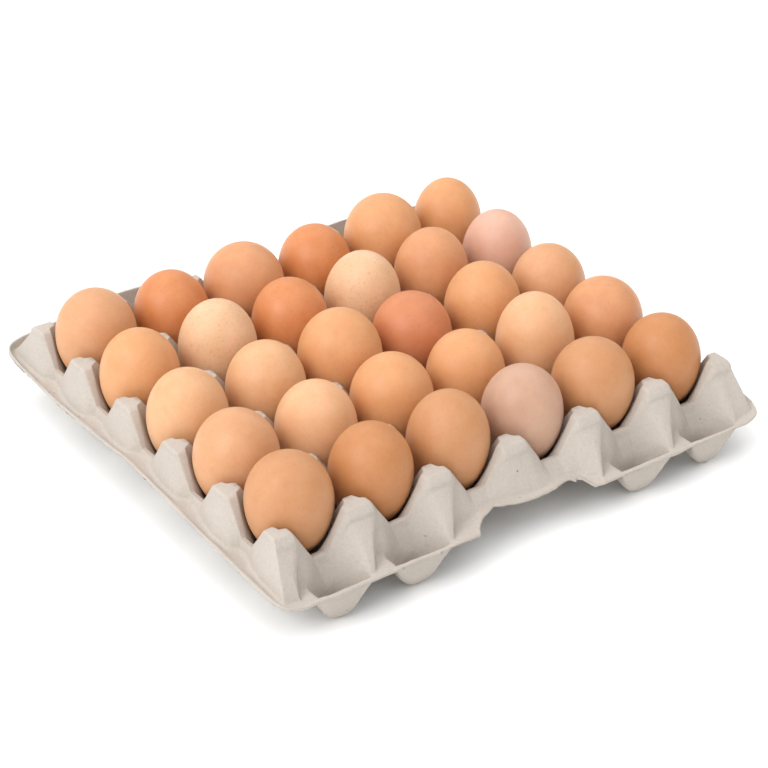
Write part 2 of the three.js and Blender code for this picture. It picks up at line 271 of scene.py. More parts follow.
@dataclass(frozen=True)
class Eggshell:
    """A hen's eggshell: chalky calcite under a thin dry bloom.

    The bloom gives a broad soft sheen, not a shine, and the shell glows a little where light sinks into it.
    Pigment lies on it in soft clouds and fine freckles, and pores pit it very finely.
    """

    ground: str
    cloud: str
    freckle: str
    slot: str
    freckles: float = 0.14
    roughness: float = 0.44
    sheen: float = 0.38
    glow: float = 0.5
    glow_mm: float = 5.0
    # Red light sinks in deepest, and blue light least.
    glow_reach: tuple[float, float, float] = (1.0, 0.5, 0.25)
    cloud_mm: float = 14.0
    freckle_mm: float = 1.5
    # Real pores are a few hundredths of a millimetre wide, too fine to show, so they are drawn coarser.
    pore_mm: float = 0.7
    pore_depth_mm: float = 0.06

    def build(self, name: str) -> bpy.types.Material:
        """Builds the shell's material.

        Args:
            name: The finish's name.

        Returns:
            The material.
        """
        material = bpy.data.materials.new(f"eggshell_{name}")
        material.use_nodes = True
        tree = material.node_tree
        shader = tree.nodes["Principled BSDF"]
        shader.inputs["Roughness"].default_value = self.roughness
        shader.inputs["Specular IOR Level"].default_value = self.sheen
        shader.inputs["Subsurface Weight"].default_value = self.glow
        shader.inputs["Subsurface Radius"].default_value = self.glow_reach
        shader.inputs["Subsurface Scale"].default_value = self.glow_mm * MM
        place = add_node(tree, "ShaderNodeTexCoord").outputs["Object"]
        cloud, freckle, pores = (
            add_node(
                tree,
                "ShaderNodeTexNoise",
                inputs={"Vector": place, "Scale": per_metre(size), "Detail": detail, "Roughness": harshness},
            ).outputs["Fac"]
            for size, detail, harshness in (
                (self.cloud_mm, 5.0, 0.62),
                (self.freckle_mm, 2.0, 0.5),
                (self.pore_mm, 2.0, 0.6),
            )
        )
        colour: object = linear(self.ground)
        for field, shade, start, end, most in (
            (cloud, self.cloud, 0.3, 0.72, 1.0),
            (freckle, self.freckle, 0.56, 0.7, self.freckles),
        ):
            spread = {"Value": field, "From Min": start, "From Max": end, "To Max": most}
            mask = add_node(tree, "ShaderNodeMapRange", inputs=spread).outputs["Result"]
            inputs = {0: mask, 6: colour, 7: linear(shade)}
            colour = add_node(tree, "ShaderNodeMix", {"data_type": "RGBA"}, inputs).outputs[2]
        tree.links.new(colour, shader.inputs["Base Color"])
        pitted = add_node(
            tree,
            "ShaderNodeBump",
            inputs={"Height": pores, "Distance": self.pore_depth_mm * MM, "Strength": 0.35},
        )
        tree.links.new(pitted.outputs["Normal"], shader.inputs["Normal"])
        return material


@dataclass(frozen=True)
class MattPaint:
    """White floor paint, rolled on and dried matt.

    The matting agent in it breaks up the shine, so the floor is an even, soft white that takes shadows well.
    """

    colour: str = "#fafbfb"
    roughness: float = 0.9

    def build(self) -> bpy.types.Material:
        """Builds the paint's material.

        Returns:
            The material.
        """
        material = bpy.data.materials.new("matt_paint")
        material.use_nodes = True
        shader = material.node_tree.nodes["Principled BSDF"]
        shader.inputs["Base Color"].default_value = linear(self.colour)
        shader.inputs["Roughness"].default_value = self.roughness
        return material


SHELLS: dict[str, Eggshell] = {
    "tan": Eggshell("#d69e70", "#cd9262", "#ae7146", "shell_tan"),
    # A tan shell made darker, partly for these eggs' own deeper colour and partly as painted shade for the
    # front row, where less light falls.
    "honey_shade": Eggshell("#c49067", "#bc8458", "#9e663f", "shell_tan"),
    "peach": Eggshell("#d19e77", "#c89267", "#aa714a", "shell_tan"),
    # Another tan shell made darker, partly for these eggs' own colour and partly as painted shade for the
    # front row.
    "copper_shade": Eggshell("#c08659", "#b77b4b", "#965d33", "shell_tan"),
    # The pink shell's shaded copy, darker as painted shade for the front-row egg 1_4.
    "pink": Eggshell("#c19d86", "#b99179", "#a67a62", "shell_pink", freckles=0.1),
    # The same pink shell's lit copy, lighter as painted light for egg 4_6, farther back.
    "blush_lit": Eggshell("#d6ae9a", "#cda08a", "#b88770", "shell_pink", freckles=0.1),
    "russet": Eggshell("#d08b5b", "#c57c4a", "#9b572d", "shell_russet", roughness=0.4),
    "rust": Eggshell("#ca855d", "#c07952", "#9a5a37", "shell_rosy"),
    "rosy": Eggshell("#d2996e", "#c78b61", "#a26742", "shell_rosy"),
    "straw": Eggshell("#ddaf88", "#d4a176", "#af7e53", "shell_cream"),
    "wheat": Eggshell("#d9ab83", "#d09d71", "#ac7a50", "shell_tan"),
    "cream": Eggshell("#dfb896", "#d5ab83", "#a97f5a", "shell_cream", freckles=0.3),
}
SHELL_EGGS: dict[str, tuple[str, ...]] = {
    # The front row, 1_1 to 1_6, takes darker copies of the tan and pink shells as painted shade for that row.
    "honey_shade": ("1_1", "1_3", "1_5"),
    "peach": ("2_1", "3_6", "5_1"),
    "copper_shade": ("1_2", "1_6"),
    "pink": ("1_4",),
    # Egg 4_6 takes the pink shell's lighter copy as painted light.
    "blush_lit": ("4_6",),
    "russet": ("5_2", "4_3", "5_4"),
    "rust": ("3_4",),
    "rosy": ("4_5", "2_6", "5_3"),
    "straw": ("2_2", "2_5"),
    "wheat": ("3_1", "3_2"),
    "cream": ("4_2", "4_4"),
}


# ---- Eggs -----------------------------------------------------------------------------------------


@dataclass
class Egg:
    """A whole egg, blunt end up, that takes its size, place and lean from its node in the frame."""

    node: str
    segments: int = 64
    bands: int = 44
    bluntness: float = 0.07
    lump_mm: float = 0.18
    lump_size_mm: float = 17.0

    def poles(self) -> tuple[Vector, Vector]:
        """Finds the tips of the node's egg: its farthest corners.

        Returns:
            The lower and the upper tip, in millimetres.
        """
        corners = [Vector(place) for place in np.unique(coordinates(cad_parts[self.node].data), axis=0)]
        ends = max(combinations(corners, 2), key=lambda pair: (pair[0] - pair[1]).length)
        lower, upper = sorted(ends, key=lambda corner: corner.z)
        return lower, upper

    def width(self, middle: Vector, axis: Vector) -> float:
        """Measures the node across its axis, where it is widest.

        Args:
            middle: The middle of the egg.
            axis: The direction from the lower tip to the upper.

        Returns:
            The width in millimetres.
        """
        offsets = coordinates(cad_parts[self.node].data) - np.array(middle)
        along = offsets @ np.array(axis)
        return 2 * float(np.linalg.norm(offsets - np.outer(along, np.array(axis)), axis=1).max())

    def build(self) -> bpy.types.Object:
        """Builds the egg where its node stands.

        Returns:
            The egg.
        """
        lower, upper = self.poles()
        middle = (lower + upper) / 2
        axis = (upper - lower).normalized()
        side = axis.orthogonal().normalized()
        across = axis.cross(side)
        half_width = self.width(middle, axis) / 2
        half_length = (upper - lower).length / 2
        angles = np.linspace(0, math.pi, self.bands + 1)
        outline = np.sin(angles) * (1 - self.bluntness * np.cos(angles))
        radii = outline / outline.max() * half_width
        turns = np.arange(self.segments) * (2 * math.pi / self.segments)
        ring = np.outer(np.cos(turns), np.array(side)) + np.outer(np.sin(turns), np.array(across))
        heights = -half_length * np.cos(angles)
        rings = [np.array(middle) + h * np.array(axis) + r * ring for h, r in zip(heights[1:-1], radii[1:-1])]
        points = np.vstack([np.array(lower), *rings, np.array(upper)])
        points = self.lumpy(points, np.array(middle))
        obj = bpy.data.objects.new(f"shell_{self.node}", smooth_mesh(self.node, points, self.faces()))
        bpy.context.collection.objects.link(obj)
        return obj

    def lumpy(self, points: np.ndarray, middle: np.ndarray) -> np.ndarray:
        """Draws the points in a little, as this egg's own form is less than perfect.

        Args:
            points: The egg's points.
            middle: The middle of the egg.

        Returns:
            The moved points.
        """
        shrink = [
            -self.lump_mm * (0.5 + 0.5 * noise.noise(Vector(point) / self.lump_size_mm)) for point in points
        ]
        outward = points - middle
        return points + outward / np.linalg.norm(outward, axis=1)[:, None] * np.array(shrink)[:, None]

    def faces(self) -> list[tuple[int, ...]]:
        """Lists the faces between the rings and at the two tips.

        Returns:
            The faces, by the numbers of their points.
        """
        last = 1 + self.segments * (self.bands - 1)
        faces: list[tuple[int, ...]] = []
        for k in range(self.segments):
            after = (k + 1) % self.segments
            faces.append((0, 1 + after, 1 + k))
            top = last - self.segments
            faces.append((last, top + k, top + after))
            for band in range(self.bands - 2):
                low = 1 + band * self.segments
                high = low + self.segments
                faces.append((low + k, low + after, high + after, high + k))
        return faces


# ---- The tray's nets ------------------------------------------------------------------------------


class Skin(Enum):
    """Which face of the sheet of pulp a net makes."""

    UPPER = "upper"
    LOWER = "lower"


# A net's corners hold X, Y and Z, then how widely the sheet bends there across its rows and along them.
ACROSS = 3
ALONG = 4
LONGEST_BEND = 0.45
# Faces that meet at a corner as flat as this count as one plane when the corner is moved.
FLAT_ENOUGH = 0.12
Corner = tuple[float, float, float, float, float]
# A size at a post, at its shoulder and at a saddle.
Sizes = tuple[float, float, float]

# How far out the long sides' lips reach round the notches, by X.
NOTCH_EDGE: tuple[tuple[float, float], ...] = (
    (-40.0, 25.3),
    (-36.5, 23.2),
    (-28.0, 16.0),
    (-19.0, 12.2),
    (0.0, 17.4),
    (10.0, 18.2),
    (20.0, 16.6),
    (30.0, 14.4),
    (35.0, 17.0),
    (40.0, 25.3),
)
# Where the wall's foot and the flange's inner corner stand beside a post: X from the post, and reach, by the
# offset before it (above 0) or after it. The outermost posts have their own. After a post the flap of flange
# ends at FLAP_END.
FLAP_END = 8.6
Footing = dict[float, tuple[tuple[float, float], tuple[float, float]]]
FOOTING: Footing = {
    7.2: ((-6.2, 22.0), (-6.2, 22.4)),
    0.0: ((-3.8, 21.6), (-3.6, 22.3)),
    -7.2: ((-2.2, 21.2), (-2.0, 22.2)),
    -10.5: ((-0.6, 14.2), (4.0, 22.2)),
    -12.0: ((8.2, 13.4), (8.6, 22.4)),
}
END_FOOTING: Footing = {
    **FOOTING,
    0.0: ((0.0, 20.0), (0.0, 22.0)),
    -7.2: ((1.2, 17.4), (1.6, 22.0)),
    -10.5: ((3.0, 14.2), (5.0, 22.2)),
}
# The height of the turned-up lip at the back by distance from the middle, and of the short sides' lips by Y.
BACK_LIP: tuple[tuple[float, float], ...] = (
    (36.0, 34.0),
    (48.0, 39.5),
    (80.0, 40.0),
    (118.0, 34.5),
    (139.0, 32.6),
)
SHORT_LIP: tuple[tuple[float, float], ...] = (
    (-118.0, 27.6),
    (-78.0, 28.8),
    (-45.0, 30.2),
    (-5.0, 32.4),
    (12.0, 31.8),
    (64.0, 28.0),
    (90.0, 27.8),
    (122.0, 29.2),
)
# How far out the foot of the short sides' faces reaches by offset, after a post and before one.
SHORT_FOOT: dict[int, tuple[tuple[float, float], ...]] = {
    -1: ((0.0, 9.2), (7.2, 8.6), (12.0, 7.6), (18.8, 5.4)),
    1: ((0.0, 9.2), (7.2, 9.3), (12.0, 8.9), (14.2, 8.4), (18.8, 4.6)),
}
# A scrap of pulp hangs on where the front lip was torn out: its X and its length, corner by corner.
SCRAP: tuple[tuple[float, float], ...] = ((27.6, 0.0), (29.2, 2.6), (30.6, 2.08), (31.4, 0.0))
# How much of the fray each row takes: the lip, and the two rows behind it.
FRAY_SHARES: dict[int, float] = {-1: 1.0, -2: 0.6, -3: 0.3}
# A section's rows counted inward from the lip: the lip's, the pockets' and the walls'.
LIP_ROWS = (0, 1)
POCKET_ROWS = (1, 2, 3, 4)
WALL_ROWS = (4, 5, 6)
# The steps between a cup's rings, from its ridge to the middle of its floor.
CUP_STEPS = [1, 3, 4, 1]
# The lumps of uneven pulp: feature size against height. The sheet shrinks a little as it dries.
PULP_LUMPS: dict[float, float] = {30.0: 0.35, 9.0: 0.22, 4.0: 0.12}
PULP_SHRINK = 0.3
# Which stretch of the noise the lumps and the fray are cut from.
PULP_SEED = 3.7
FRAY_SEED = 9.0


class Fray(Enum):
    """How far the pulp's edge falls short of its line: its mean, then feature sizes against their heights."""

    TRIMMED = (0.4, {16.0: 0.4, 5.0: 0.3, 2.2: 0.2})
    TORN = (0.8, {9.0: 0.9, 4.0: 0.8, 2.0: 0.4})

    def shortfall(self, x: float, y: float) -> float:
        """Measures how far the edge falls short at a place.

        Args:
            x: The place's X.
            y: The place's Y.

        Returns:
            The shortfall in millimetres.
        """
        mean, layers = self.value
        waves = sum(height * noise.noise(Vector((x, y, FRAY_SEED)) / size) for size, height in layers.items())
        return max(0.0, mean + waves)


class Station(NamedTuple):
    """A place along a side of a cell: its X or Y, its distance from the nearest post, and -1 after a post
    or 1 before one."""

    at: float
    offset: float
    half: int


class Row(NamedTuple):
    """A corner of a side's section: its reach, height and bend, and how far it stands off its station."""

    reach: float
    height: float
    bend: float
    shift: float = 0.0


def mix(start: float, end: float, share: float) -> float:
    """Returns the value at a share of the way from one to another."""
    return start + (end - start) * share


def refined(net: np.ndarray, bend: int, steps: list[int]) -> np.ndarray:
    """Refines a net along its first axis: a small round at each inner station, and even steps between them.

    Args:
        net: Corners by station and row, each with its place and its two bends.
        bend: The column that holds the bend to use.
        steps: How many steps each stretch between two stations gets.

    Returns:
        The refined net, with more stations and the same rows.
    """
    run = np.diff(net, axis=0)
    length = np.maximum(np.linalg.norm(run[..., :3], axis=-1, keepdims=True), 1e-6)
    begin = net[:-1] + run * np.minimum(net[:-1, :, [bend]] / length, LONGEST_BEND)
    end = net[1:] - run * np.minimum(net[1:, :, [bend]] / length, LONGEST_BEND)
    begin[0] = net[0]
    end[-1] = net[-1]
    stations: list[np.ndarray] = []
    for k, count in enumerate(steps):
        if k:
            stations.append(0.25 * end[k - 1] + 0.5 * net[k] + 0.25 * begin[k])
        stations.extend(begin[k] + (end[k] - begin[k]) * share for share in np.linspace(0, 1, count + 1))
    return np.array(stations)


def corner_key(place: np.ndarray) -> tuple[int, int, int]:
    """Returns a key that corners at one place share, to a hundredth of a millimetre."""
    x, y, z = (round(float(value) * 100) for value in place[:3])
    return (x, y, z)


def inset(nets: list[np.ndarray], thickness: float) -> list[np.ndarray]:
    """Moves a skin's corners so that every face round each ends up lower by the sheet's thickness.

    Args:
        nets: The nets of one whole skin.
        thickness: The sheet's thickness in millimetres.

    Returns:
        The moved nets.
    """
    normals: dict[tuple[int, int, int], list[np.ndarray]] = {}
    for net in nets:
        quads = (net[:-1, :-1, :3], net[1:, :-1, :3], net[1:, 1:, :3], net[:-1, 1:, :3])
        square = np.cross(quads[2] - quads[0], quads[3] - quads[1])
        size = np.linalg.norm(square, axis=-1)
        upward = np.where(square[..., [2]] < 0, -square, square) / np.maximum(size, 1e-9)[..., None]
        for corners in quads:
            for station, row in np.argwhere(size > 1e-3):
                normals.setdefault(corner_key(corners[station, row]), []).append(upward[station, row])
    moves = {
        key: np.linalg.lstsq(np.array(faces), np.full(len(faces), -thickness), rcond=FLAT_ENOUGH)[0]
        for key, faces in normals.items()
    }
    moved = [net.copy() for net in nets]
    for net in moved:
        for station, row in np.ndindex(net.shape[:2]):
            net[station, row, :3] += moves[corner_key(net[station, row])]
    return moved


class Sheet:
    """A closed surface that is gathered grid by grid. Corners that coincide are merged."""

    def __init__(self) -> None:
        """Starts with no corners."""
        self.places: list[np.ndarray] = []
        self.faces: list[tuple[int, ...]] = []
        self.numbers: dict[tuple[int, int, int], int] = {}

    def corner(self, place: np.ndarray) -> int:
        """Looks up the corner at a place, and adds it if it is new.

        Args:
            place: The place, with or without its bends.

        Returns:
            The corner's number.
        """
        key = corner_key(place)
        if key not in self.numbers:
            self.numbers[key] = len(self.places)
            self.places.append(place[:3])
        return self.numbers[key]

    def face(self, numbers: list[int]) -> None:
        """Adds a face, unless its corners fall together.

        Args:
            numbers: Its corners' numbers.
        """
        distinct = tuple(dict.fromkeys(numbers))
        if len(distinct) > 2:
            self.faces.append(distinct)

    def add(self, grid: np.ndarray) -> None:
        """Adds the faces of a grid.

        Args:
            grid: The places, by row and station.
        """
        numbers = [[self.corner(place) for place in row] for row in grid]
        for low, high in zip(numbers, numbers[1:]):
            for k in range(len(low) - 1):
                self.face([low[k], low[k + 1], high[k + 1], high[k]])

    def mesh(self, name: str) -> bpy.types.Mesh:
        """Makes the mesh, facing outward.

        Args:
            name: The mesh's name.

        Returns:
            The mesh, in metres.
        """
        mesh = smooth_mesh(name, np.array(self.places), self.faces)
        work = bmesh.new()
        work.from_mesh(mesh)
        bmesh.ops.recalc_face_normals(work, faces=work.faces)
        work.to_mesh(mesh)
        work.free()
        return mesh


# ---- The tray -------------------------------------------------------------------------------------


@dataclass
class PulpTray:
    """The tray: one shell of pulp with posts between its cups, a flange, feet, notches and lips.

    A station's offset is its distance from the nearest post. A reach is measured outward from the line
    of the outermost posts.
    """

    columns: int = 6
    rows: int = 5
    pitch_x: float = 47.0
    pitch_y: float = 47.8
    outer_inset: float = 2.0
    pulp: float = 2.2
    # The ridges between the posts: their heights, and the offsets of their stations.
    post_top: float = 50.0
    short_saddle: float = 33.0
    long_saddle: float = 31.8
    end_saddle: float = 30.2
    shoulder_at: float = 7.2
    cut_at: tuple[float, ...] = (10.5, 12.0, 14.2)
    saddle_at: float = 18.8
    # The long sides' saddles sink toward the corners, between these numbers of cells from the middle.
    sinking: tuple[float, float] = (1.5, 2.5)
    # How widely the outer ridges bend at their shoulders and at their saddles.
    crispness: tuple[float, float] = (1.3, 0.5)
    # How far a ridge's flat top reaches outward, and inward on the tray's sides and between its cups.
    cap_edge: Sizes = (3.0, 2.6, 1.0)
    outer_edge: Sizes = (3.4, 2.2, 1.4)
    inner_edge: Sizes = (4.6, 2.8, 1.6)
    edge_bend: float = 0.7
    # The bevel under a post's flat top, and the step under the bevel: how far out and how far down they go.
    long_bevel: tuple[float, float] = (3.2, 3.7)
    short_bevel: tuple[float, float] = (1.0, 1.2)
    bevel_bend: float = 1.6
    step: tuple[float, float] = (0.1, 2.4)
    step_bend: float = 0.9
    # The cups. Their spokes turn from square on to the posts, by these degrees.
    spoke_turn: Sizes = (45.0, 28.0, 10.0)
    seat_radius: float = 17.7
    seat_height: float = 28.0
    seat_bend: float = 3.0
    floor_radius: float = 8.7
    floor_bend: float = 2.5
    hub_share: float = 0.35
    # The walls of the sides. The shares down them are those of the rows that the bevel and the step run out
    # into, and of the low row where the wall is straight and where it bulges.
    run_out_shares: tuple[float, float] = (0.08, 0.14)
    low_shares: tuple[float, float] = (0.84, 0.42)
    wall_bulge: float = 2.6
    wall_round: float = 3.0
    face_taper: float = 1.7
    foot_bend: float = 0.9
    ridge_round: float = 3.2
    fold_round: float = 1.5
    cut_round: float = 2.5
    # The flange and the lips.
    flange_height: float = 23.2
    flange_strip: float = 2.3
    long_lip: float = 25.2
    back_rise: float = 3.0
    back_level: float = 28.0
    back_strip: float = 1.8
    plain_foot: float = 17.0
    plain_taper: float = 0.5
    plain_strip: float = 1.5
    short_crease: float = 12.6
    short_gutter: float = 1.4
    short_lip: float = 14.2
    gutter_shares: tuple[float, float] = (0.25, 0.7)
    gutter_rises: tuple[float, float] = (0.5, 0.3)
    gutter_bend: float = 0.5
    crease_bend: float = 0.6
    lip_wave: float = 0.7
    wave_mm: float = 14.0
    wave_seed: float = 7.0
    rim_round: float = 0.45
    # The notches. Inside the flat stretch the wall runs down to the strip at the edge.
    notch_half: float = 36.0
    notch_flat: float = 26.0
    notch_height: float = 25.6
    notch_strip: float = 3.8
    notch_foot: Sizes = (16.5, 14.5, 9.0)
    # The pockets that end in feet.
    foot_columns: tuple[int, ...] = (0, 1, 4, 5)
    foot_inner: float = 12.0
    foot_outer: float = 16.3
    foot_shift: float = 2.6
    foot_taper: float = 2.2
    foot_belly: float = 1.8
    foot_round: float = 5.0
    pocket_ease: float = 2.4
    pocket_bend: float = 2.0
    pocket_strip: float = 0.6
    belly_share: float = 0.4
    belly_bend: float = 3.0
    belly_shift: float = 0.8
    # The tray's rounded corners: how square each row is from the lip inward, and the cap's rows.
    corner_spokes: int = 4
    corner_squareness: tuple[float, ...] = (3.2, 4.0, 4.6, 5.4)
    cap_squareness: float = 12.0
    corner_crease: float = 0.6
    corner_round: float = 4.0

    def stations(self, start: float, end: float, is_outer: bool) -> list[Station]:
        """Lists the stations of a side of a cell.

        Args:
            start: The X or Y of the side's first post.
            end: The X or Y of its last post.
            is_outer: Whether it is one of the tray's own sides, which have more stations.

        Returns:
            The stations, from post to post.
        """
        cuts = self.cut_at if is_outer else ()
        offsets = (0.0, self.shoulder_at, *cuts, self.saddle_at)
        near = [Station(start + offset, offset, -1) for offset in offsets]
        far = [Station(end - offset, offset, 1) for offset in reversed(offsets)]
        return near + far

    @staticmethod
    def station_steps(is_outer: bool) -> list[int]:
        """Returns the steps between the stations of a side of a cell."""
        half = [3, 1, 1, 1, 3] if is_outer else [2, 3]
        return [*half, 3 if is_outer else 2, *reversed(half)]

    @staticmethod
    def row_steps(skin: Skin) -> list[int]:
        """Returns the steps between the rows of a side, from its ridge to its lip."""
        cap = [1, 1, 1] if skin is Skin.UPPER else [1]
        return [*cap, 5, 1, 1, 2, 2, 2]

    def line_x(self, index: int) -> float:
        """Returns the X of a line of posts."""
        return self.line(index, self.columns, self.pitch_x)

    def line_y(self, index: int) -> float:
        """Returns the Y of a line of posts."""
        return self.line(index, self.rows, self.pitch_y)

    def line(self, index: int, cells: int, pitch: float) -> float:
        """Returns the place of a line of posts. The outermost stand a little inside the even pitch."""
        inward = {0: self.outer_inset, cells: -self.outer_inset}.get(index, 0.0)
        return (index - cells / 2) * pitch + inward

    def fall(self, offset: float) -> float:
        """Returns how far a ridge has come from the top of a post, at 0, to a saddle, at 1."""
        return float(np.interp(offset, (self.shoulder_at, self.saddle_at), (0.0, 1.0)))

    def run_out(self, offset: float) -> float:
        """Returns how far a bevel has run out into the wall: 0 at a shoulder, 1 half way to a saddle."""
        return min(1.0, 2.0 * self.fall(offset))

    def between(self, offset: float, sizes: Sizes) -> float:
        """Returns a size that changes along a ridge, from its values at a post, a shoulder and a saddle."""
        return float(np.interp(offset, (0.0, self.shoulder_at, self.saddle_at), sizes))

    def ridge_height(self, at: float, offset: float, is_long: bool) -> float:
        """Works out the height of a ridge.

        Args:
            at: The station's X or Y.
            offset: The station's offset.
            is_long: Whether it is on one of the tray's long sides.

        Returns:
            The height.
        """
        saddle = self.short_saddle
        if is_long:
            places = [cells * self.pitch_x for cells in self.sinking]
            saddle = float(np.interp(abs(at), places, (self.long_saddle, self.end_saddle)))
        return mix(self.post_top, saddle, self.fall(offset))

    def crisp(self, offset: float) -> float:
        """Returns how widely an outer ridge bends at a station."""
        return dict(zip((self.shoulder_at, self.saddle_at), self.crispness)).get(offset, 0.0)

    def cup_net(self, column: int, row: int) -> np.ndarray:
        """Makes the net of a cup.

        Args:
            column: The cup's column.
            row: The cup's row.

        Returns:
            The net, by station round the cup and ring down it, to near the middle of its floor.
        """
        x0, x1 = self.line_x(column), self.line_x(column + 1)
        y0, y1 = self.line_y(row), self.line_y(row + 1)
        left, right, front, back = column == 0, column == self.columns - 1, row == 0, row == self.rows - 1
        sides = (
            (x0, x1, front, left, lambda along, inward: (along, y0 + inward)),
            (y0, y1, right, front, lambda along, inward: (x1 - inward, along)),
            (-x1, -x0, back, right, lambda along, inward: (-along, y1 - inward)),
            (-y1, -y0, left, back, lambda along, inward: (x0 + inward, -along)),
        )
        middle_x = (column + 0.5 - self.columns / 2) * self.pitch_x
        middle_y = (row + 0.5 - self.rows / 2) * self.pitch_y
        rings = (
            (self.seat_radius, self.seat_height, self.seat_bend),
            (self.floor_radius, self.pulp, self.floor_bend),
            (self.floor_radius * self.hub_share, self.pulp, 0.0),
        )
        net: list[list[Corner]] = []
        for quarter, (start, end, is_outer, from_outer, place) in enumerate(sides):
            for at, offset, half in self.stations(start, end, is_outer)[:-1]:
                shift = -self.outer_inset * self.fall(offset) if is_outer else 0.0
                depth = self.between(offset, self.outer_edge if is_outer else self.inner_edge)
                edge_at = at
                if offset == 0.0:
                    edge_at += (self.outer_edge if from_outer else self.inner_edge)[0]
                top = self.ridge_height(at, offset, is_outer and quarter % 2 == 0)
                bend = self.crisp(offset) if is_outer else 0.0
                edge_bend = bend if offset else self.fold_round
                angle = math.radians(quarter * 90 - 90 + half * self.between(offset, self.spoke_turn))
                out_x, out_y = math.cos(angle), math.sin(angle)
                net.append(
                    [
                        (*place(at, shift), top, 0.0, bend),
                        (*place(edge_at, shift + depth), top, self.edge_bend, edge_bend),
                        *[
                            (middle_x + radius * out_x, middle_y + radius * out_y, height, across, 0.0)
                            for radius, height, across in rings
                        ],
                    ]
                )
        return np.array([*net, net[0]])

    def cap_rows(self, top: float, offset: float, skin: Skin, bevel: tuple[float, float]) -> list[Row]:
        """Makes the first rows of a side.

        Args:
            top: The ridge's height.
            offset: The station's offset.
            skin: Only the upper skin has the bevel under the posts' flat tops, with a small step under it.
            bevel: How far out and how far down the bevel goes at a post.

        Returns:
            The ridge's middle, its edge, and for the upper skin the bevel's foot and the step's.
        """
        middle = self.outer_inset * self.fall(offset)
        edge = middle + self.between(offset, self.cap_edge)
        rows = [Row(middle, top, 0.0), Row(edge, top, self.edge_bend)]
        if skin is Skin.UPPER:
            out, down = edge + bevel[0], top - bevel[1]
            rows.append(Row(out, down, self.bevel_bend))
            rows.append(Row(out + self.step[0], down - self.step[1], self.step_bend))
        return rows

    def pocket_start(self, half: int) -> float:
        """Returns the offset at which a pocket begins to sink, after a post or before one."""
        return self.cut_at[1] if half < 0 else self.shoulder_at

    def pocket_depth(self, station: Station, cell: int) -> float:
        """Works out how far a pocket has sunk. After a post it sinks fast at first.

        Args:
            station: The station.
            cell: The cell's column, or -1 beyond the outermost posts.

        Returns:
            The share of the way down to the foot, from 0 to 1.
        """
        if cell not in self.foot_columns:
            return 0.0
        span = (self.pocket_start(station.half), self.saddle_at)
        depth = float(np.interp(station.offset, span, (0.0, 1.0)))
        return 1.0 - (1.0 - depth) ** self.pocket_ease if station.half < 0 else depth

    def pocket_rows(self, half: int, depth: float, level: float, crease: float) -> tuple[Row, Row]:
        """Makes the rows low in a pocket.

        Args:
            half: -1 after a post, 1 before one.
            depth: How far the pocket has sunk, from 0 to 1.
            level: The flange's height.
            crease: How far out the lip's crease is.

        Returns:
            The foot of the pocket's inner wall, and the outer edge of its floor.
        """
        start = self.pocket_start(half)
        start_reach = FOOTING[half * start][0][1]
        shift = mix(FLAP_END - start if half < 0 else 1.0, self.foot_shift, depth)
        height = mix(level, self.pulp, depth)
        foot_reach = mix(start_reach, self.foot_inner, depth)
        floor_reach = mix(crease - self.pocket_strip, self.foot_outer, depth)
        foot = Row(foot_reach, height, self.pocket_bend, shift - half * self.foot_taper * depth)
        return foot, Row(floor_reach, height, self.foot_round, shift)

    def long_section(self, station: Station, side: int, cell: int, skin: Skin) -> list[Row]:
        """Makes the section of a long side.

        Before a post the wall runs down to the lip. After it the wall's foot lies farther in, and a flap of
        flange shows outside it.

        Args:
            station: The station.
            side: -1 for the front and 1 for the back, where the lip is turned up.
            cell: The cell's column, or -1 beyond the outermost posts.
            skin: The skin to make.

        Returns:
            The rows, from the ridge to the lip.
        """
        at, offset, half = station
        rows = self.cap_rows(self.ridge_height(at, offset, True), offset, skin, self.long_bevel)
        in_notch = abs(at) < self.notch_half
        is_turned_up = side > 0 and not in_notch
        is_end = abs(at) > self.line_x(self.columns) - self.cut_at[0]
        lip = float(np.interp(at, *zip(*NOTCH_EDGE))) if in_notch else self.long_lip
        crease = lip - self.flange_strip
        level = edge = self.flange_height
        if is_turned_up:
            edge = float(np.interp(abs(at), *zip(*BACK_LIP)))
            level = min(edge - self.back_rise, self.back_level)
        depth = self.pocket_depth(station, cell)
        if in_notch:
            share = float(np.interp(abs(at), (self.notch_flat, self.notch_half), (1.0, 0.0)))
            base = mix(self.between(offset, self.notch_foot), lip - self.notch_strip, share)
            level = edge = mix(level, self.notch_height, share)
            foot, floor = Row(base, level, 1.0), Row((base + crease) / 2, level, 0.0)
        elif depth:
            foot, floor = self.pocket_rows(half, depth, level, crease)
        elif half > 0 and cell not in self.foot_columns and offset:
            base = self.plain_foot - (offset - self.shoulder_at) * self.plain_taper
            foot, floor = Row(base, level, self.fold_round), Row(crease - self.plain_strip, level, 0.0)
        else:
            footing = END_FOOTING if is_end else FOOTING
            (foot_at, foot_reach), (floor_at, floor_reach) = footing[half * offset]
            foot = Row(foot_reach, level, self.foot_bend, foot_at + half * offset)
            floor = Row(floor_reach, level, 0.0, floor_at + half * offset)
        if is_turned_up:
            crease = lip - self.back_strip
        belly = Row(
            mix(floor.reach, crease, self.belly_share) + self.foot_belly * depth,
            mix(floor.height, level, self.belly_share),
            self.belly_bend * depth,
            floor.shift * self.belly_shift,
        )
        wall = self.with_wall(rows, foot, self.run_out(offset), depth)
        return [*wall, floor, belly, Row(crease, edge, self.crease_bend), Row(lip, edge, 0.0)]

